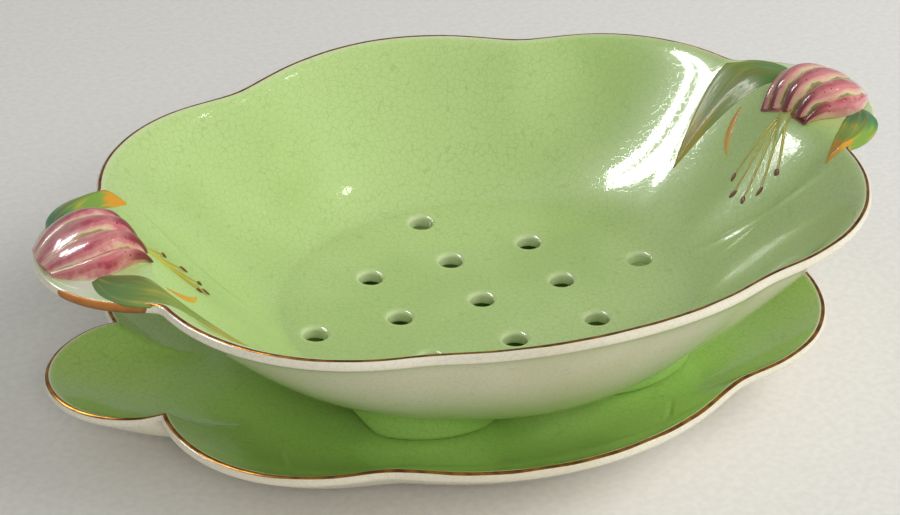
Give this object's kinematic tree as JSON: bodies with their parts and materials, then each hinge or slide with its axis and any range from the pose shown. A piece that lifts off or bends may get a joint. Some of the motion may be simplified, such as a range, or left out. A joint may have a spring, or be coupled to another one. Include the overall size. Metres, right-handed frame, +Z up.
{
  "type": "berry colander bowl",
  "caption": "Oval lobed berry drainer of glazed earthenware with a pierced floor and moulded flower lugs, standing in a matching lobed drip plate.",
  "frame": {"origin": "on the table, below the centre of the drainer", "axes": "+X along the long axis towards the right lug, +Y to the back, +Z up"},
  "size_m": [0.2894, 0.2058, 0.0762],
  "materials": {
    "green_and_cream_glaze": "apple-green gloss glaze over cream earthenware",
    "green_glaze": "apple-green gloss glaze",
    "cream_glaze": "cream gloss glaze",
    "gilt_line": "thin fired gilt line, gloss",
    "petal_glaze": "pink and cream underglaze paint, gloss",
    "leaf_glaze": "green and ochre underglaze paint, gloss",
    "filament_glaze": "yellow-green underglaze paint, gloss",
    "anther_glaze": "brown underglaze paint, gloss"
  },
  "bodies": {
    "underplate": {"underplate_floor": "green_glaze", "underplate_wall": "green_and_cream_glaze", "underplate_foot_ring": "cream_glaze", "underplate_rim_gilding": "gilt_line"},
    "drainer": {"drainer_wall": "green_and_cream_glaze", "strainer_floor": "green_and_cream_glaze", "drainer_rim_gilding": "gilt_line", "foot_pad_front_left": "green_glaze", "foot_pad_front_right": "green_glaze", "foot_pad_back_left": "green_glaze", "foot_pad_back_right": "green_glaze", "left_flower_head": "petal_glaze", "right_flower_head": "petal_glaze", "left_small_leaf": "leaf_glaze", "right_small_leaf": "leaf_glaze", "left_large_leaf": "leaf_glaze", "right_large_leaf": "leaf_glaze", "left_filaments": "filament_glaze", "right_filaments": "filament_glaze", "left_anthers": "anther_glaze", "right_anthers": "anther_glaze"}
  },
  "joints": [
    {"name": "drainer_lift", "type": "slide", "parent": "underplate", "child": "drainer", "axis": [0, 0, 1], "range_m": [0, 0.1]}
  ]
}
